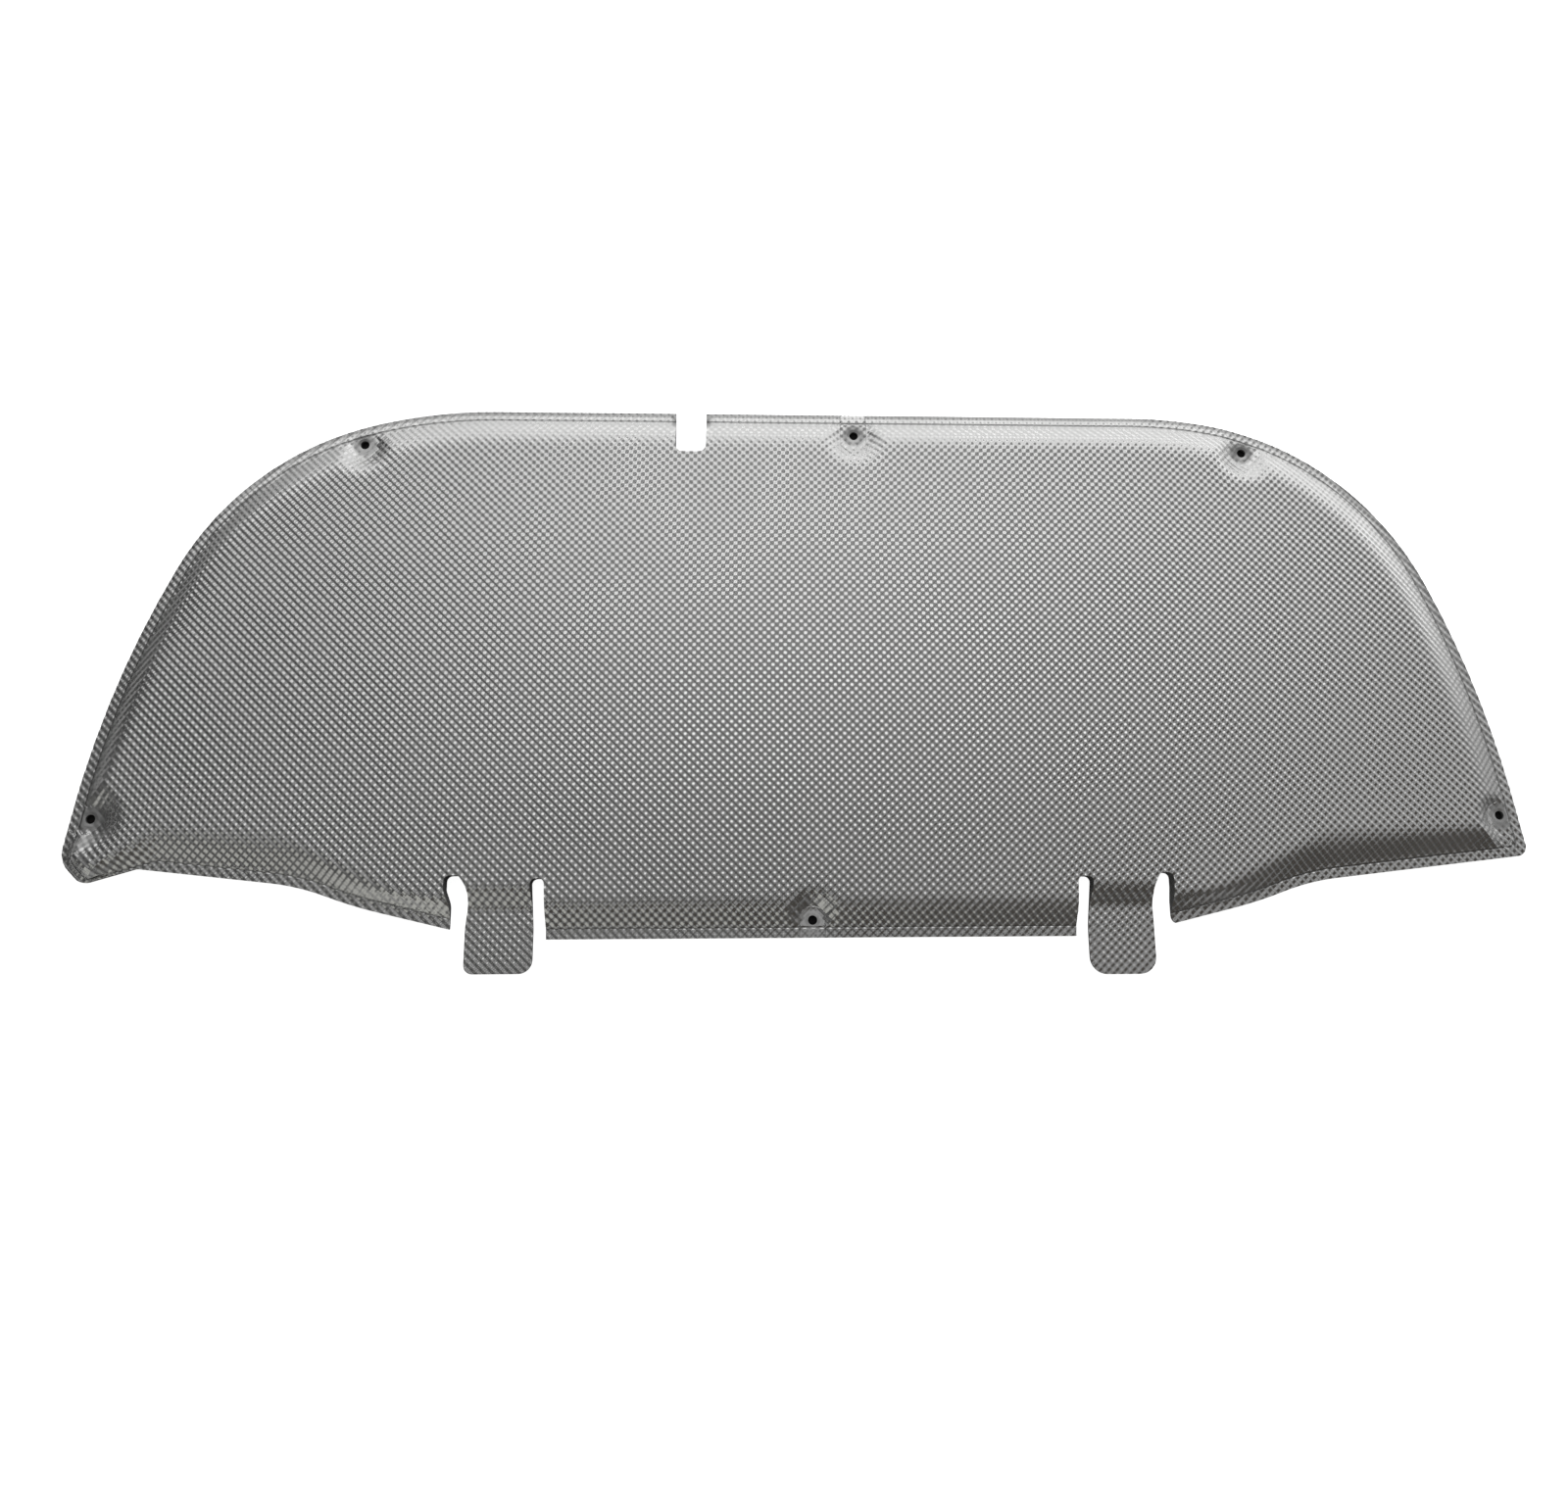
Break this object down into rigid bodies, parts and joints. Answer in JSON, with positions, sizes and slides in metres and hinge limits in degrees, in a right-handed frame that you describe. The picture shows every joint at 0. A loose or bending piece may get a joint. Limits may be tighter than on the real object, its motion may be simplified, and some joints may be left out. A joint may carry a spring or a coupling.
{
  "type": "hood insulation pad",
  "caption": "Moulded foil-faced insulation pad for the underside of a vehicle hood, with clip holes in pressed seats, a notch and tabs.",
  "frame": {"origin": "centre of the pad's plan, on its flat back", "axes": "+X across the vehicle along the pad's long side, +Y towards the long straight edge that the notch is cut in, +Z out of the foil face"},
  "size_m": [1.2942, 0.5258, 0.0125],
  "materials": {
    "embossed_foil": "embossed aluminium foil bonded over a moulded fibre blanket"
  },
  "bodies": {
    "root": {"insulation_pad": "embossed_foil"}
  },
  "joints": []
}
